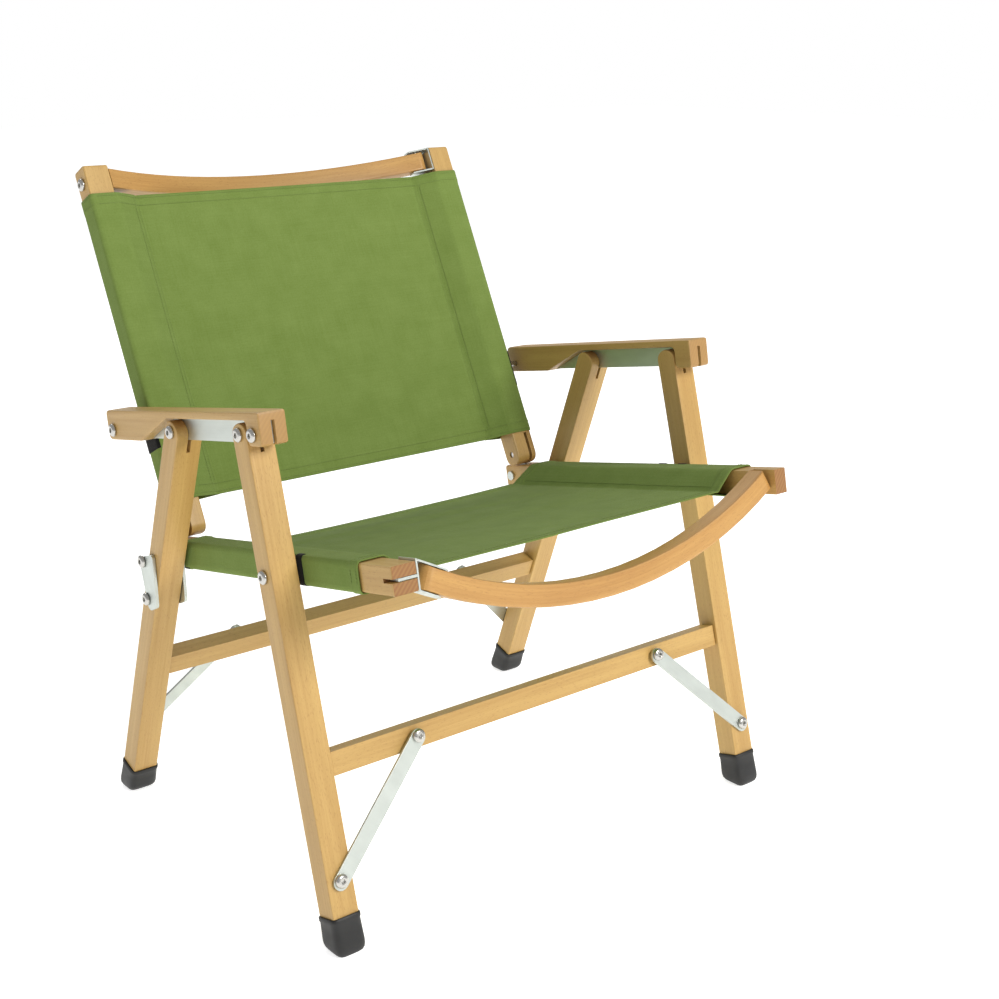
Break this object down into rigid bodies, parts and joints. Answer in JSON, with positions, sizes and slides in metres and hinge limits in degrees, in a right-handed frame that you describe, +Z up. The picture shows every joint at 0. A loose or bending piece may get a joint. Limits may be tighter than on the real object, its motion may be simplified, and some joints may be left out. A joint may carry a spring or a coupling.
{
  "type": "folding camp chair",
  "caption": "Low folding camp chair with a wooden frame, flat armrests, metal hinge plates, canvas seat and back and curved front and back spreader bows.",
  "frame": {"origin": "on the floor, under the middle of the chair's bounding box", "axes": "+Z up, +Y towards the backrest, so the sitter faces -Y; +X to the right of someone facing the back from the front"},
  "size_m": [0.5384, 0.5853, 0.6303],
  "materials": {
    "beech": "satin oiled beech",
    "bow_beech": "steam bent beech, satin, a little darker",
    "canvas": "olive green cotton canvas, matte",
    "aluminium": "satin",
    "steel": "bright zinc",
    "rubber": "matte black"
  },
  "bodies": {
    "seat": {"left_seat_rail": "beech", "left_seat_bolt": "steel", "left_rail_tie_bolt": "steel", "left_hinge_link": "aluminium", "right_seat_rail": "beech", "right_seat_bolt": "steel", "right_rail_tie_bolt": "steel", "right_hinge_link": "aluminium", "seat_bow_bracket": "aluminium", "seat_fabric": "canvas"},
    "front_legs": {"left_front_leg": "beech", "left_front_foot": "rubber", "left_front_leg_top_bolt": "steel", "left_front_strut": "aluminium", "left_front_strut_top_bolt": "steel", "left_front_strut_low_bolt": "steel", "right_front_leg": "beech", "right_front_foot": "rubber", "right_front_leg_top_bolt": "steel", "right_front_strut": "aluminium", "right_front_strut_top_bolt": "steel", "right_front_strut_low_bolt": "steel", "front_stretcher": "beech"},
    "left_arm": {"left_armrest": "beech", "left_armrest_plate": "aluminium", "left_armrest_front_bolt": "steel", "left_armrest_rear_bolt": "steel", "left_rear_leg_top_bolt": "steel"},
    "right_arm": {"right_armrest": "beech", "right_armrest_plate": "aluminium", "right_armrest_front_bolt": "steel", "right_armrest_rear_bolt": "steel", "right_rear_leg_top_bolt": "steel"},
    "rear_legs": {"left_rear_leg": "beech", "left_rear_foot": "rubber", "left_rear_strut": "aluminium", "left_rear_strut_top_bolt": "steel", "left_rear_strut_low_bolt": "steel", "right_rear_leg": "beech", "right_rear_foot": "rubber", "right_rear_strut": "aluminium", "right_rear_strut_top_bolt": "steel", "right_rear_strut_low_bolt": "steel", "rear_stretcher": "beech"},
    "left_tie": {"left_tie_plate_outer": "aluminium", "left_tie_plate_inner": "aluminium", "left_tie_bolt": "steel"},
    "right_tie": {"right_tie_plate_outer": "aluminium", "right_tie_plate_inner": "aluminium", "right_tie_bolt": "steel"},
    "backrest": {"left_back_post": "beech", "left_post_bolt": "steel", "left_post_top_bolt": "steel", "right_back_post": "beech", "right_post_bolt": "steel", "right_post_top_bolt": "steel", "back_bow_bracket": "aluminium", "back_fabric": "canvas"},
    "seat_bow": {"seat_bow": "bow_beech"},
    "back_bow": {"back_bow": "bow_beech"}
  },
  "joints": [
    {"name": "frame_fold", "type": "hinge", "parent": "seat", "child": "front_legs", "pos_m": [0, -0.1425, 0.3175], "axis": [1, 0, 0], "range_deg": [0, 60]},
    {"name": "left_arm_pivot", "type": "hinge", "parent": "front_legs", "child": "left_arm", "pos_m": [-0.249, -0.112, 0.4345], "axis": [1, 0, 0], "range_deg": [-59, 0]},
    {"name": "right_arm_pivot", "type": "hinge", "parent": "front_legs", "child": "right_arm", "pos_m": [0.249, -0.112, 0.4345], "axis": [1, 0, 0], "range_deg": [-59, 0]},
    {"name": "rear_leg_pivot", "type": "hinge", "parent": "left_arm", "child": "rear_legs", "pos_m": [-0.249, 0.0106, 0.4127], "axis": [1, 0, 0], "range_deg": [0, 30]},
    {"name": "left_tie_pivot", "type": "hinge", "parent": "seat", "child": "left_tie", "pos_m": [-0.249, 0.0785, 0.2735], "axis": [1, 0, 0], "range_deg": [-76, 0]},
    {"name": "right_tie_pivot", "type": "hinge", "parent": "seat", "child": "right_tie", "pos_m": [0.249, 0.0785, 0.2735], "axis": [1, 0, 0], "range_deg": [-76, 0]},
    {"name": "back_fold", "type": "hinge", "parent": "seat", "child": "backrest", "pos_m": [0, 0.0886, 0.2975], "axis": [1, 0, 0], "range_deg": [0, 71]},
    {"name": "seat_bow_swing", "type": "hinge", "parent": "seat", "child": "seat_bow", "pos_m": [-0.1885, -0.272, 0.33539], "axis": [-0.4539, -0.1741, -0.8739], "range_deg": [0, 90]},
    {"name": "back_bow_swing", "type": "hinge", "parent": "backrest", "child": "back_bow", "pos_m": [0.1865, 0.24684, 0.6125], "axis": [0, 0.4415, 0.8973], "range_deg": [0, 90]}
  ],
  "couplings": [
    {"joint": "left_arm_pivot", "follows": "frame_fold", "ratio": -0.969},
    {"joint": "right_arm_pivot", "follows": "frame_fold", "ratio": -0.969},
    {"joint": "rear_leg_pivot", "follows": "frame_fold", "ratio": 0.4976},
    {"joint": "left_tie_pivot", "follows": "frame_fold", "ratio": -1.2633},
    {"joint": "right_tie_pivot", "follows": "frame_fold", "ratio": -1.2633},
    {"joint": "back_fold", "follows": "frame_fold", "ratio": 1.1696}
  ]
}
